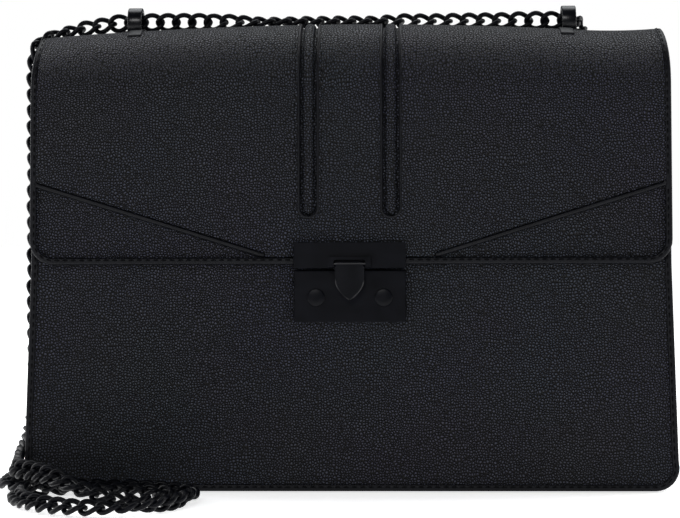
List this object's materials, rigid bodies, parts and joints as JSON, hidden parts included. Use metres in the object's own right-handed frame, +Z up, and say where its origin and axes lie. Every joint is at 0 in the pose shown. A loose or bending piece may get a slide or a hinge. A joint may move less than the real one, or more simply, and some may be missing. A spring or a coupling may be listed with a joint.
{
  "type": "evening shoulder bag",
  "caption": "Structured black leather shoulder bag with a front flap, a hasp lock and a metal chain strap lying beside it.",
  "frame": {"origin": "middle of the flat base, on the surface that the bag stands on", "axes": "+Z up; the front with the flap and lock faces -Y; +X along the bag, to the right seen from the front"},
  "size_m": [0.2971, 0.1773, 0.2145],
  "materials": {
    "grained_leather": "fine pebble grain, satin",
    "lining_cloth": "matte woven cloth",
    "black_metal": "matte black coating",
    "black_chain": "satin black coating",
    "stiff_board": "matte fibre board"
  },
  "bodies": {
    "body": {"front_panel": "grained_leather", "front_edge_band": "grained_leather", "back_panel": "grained_leather", "back_edge_band": "grained_leather", "gusset_band": "grained_leather", "roof_shell": "grained_leather", "roof_overlay": "grained_leather", "padded_strip_back_left": "grained_leather", "padded_strip_back_right": "grained_leather", "lining_bag": "lining_cloth", "inner_pocket": "lining_cloth", "roof_lining": "lining_cloth", "lower_lock_plate": "black_metal", "strike_magnet": "black_metal", "lower_backing_plate": "black_metal", "rivet_left": "black_metal", "rivet_right": "black_metal", "chain_loop_left": "black_metal", "chain_loop_right": "black_metal", "loop_tab_left": "black_metal", "loop_tab_right": "black_metal", "loop_washer_left": "black_metal", "loop_washer_right": "black_metal", "chain_top_run": "black_chain", "chain_left_drop": "black_chain", "chain_heap": "black_chain", "chain_back_run": "black_chain", "base_board": "stiff_board"},
    "flap": {"flap_shell": "grained_leather", "flap_overlay": "grained_leather", "flap_lining": "lining_cloth", "flap_edge_band": "grained_leather", "v_trim_left": "grained_leather", "v_trim_right": "grained_leather", "padded_strip_left": "grained_leather", "padded_strip_right": "grained_leather", "upper_lock_plate": "black_metal", "upper_backing_plate": "black_metal", "tongue_bracket": "black_metal"},
    "tongue": {"lock_tongue": "black_metal", "tongue_magnet": "black_metal"}
  },
  "joints": [
    {"name": "flap_hinge", "type": "hinge", "parent": "body", "child": "flap", "pos_m": [0, 0.003, 0.20535], "axis": [-1, 0, 0], "range_deg": [0, 105]},
    {"name": "tongue_hinge", "type": "hinge", "parent": "flap", "child": "tongue", "pos_m": [0, -0.04102, 0.09929], "axis": [-1, 0, 0], "range_deg": [0, 95]}
  ]
}
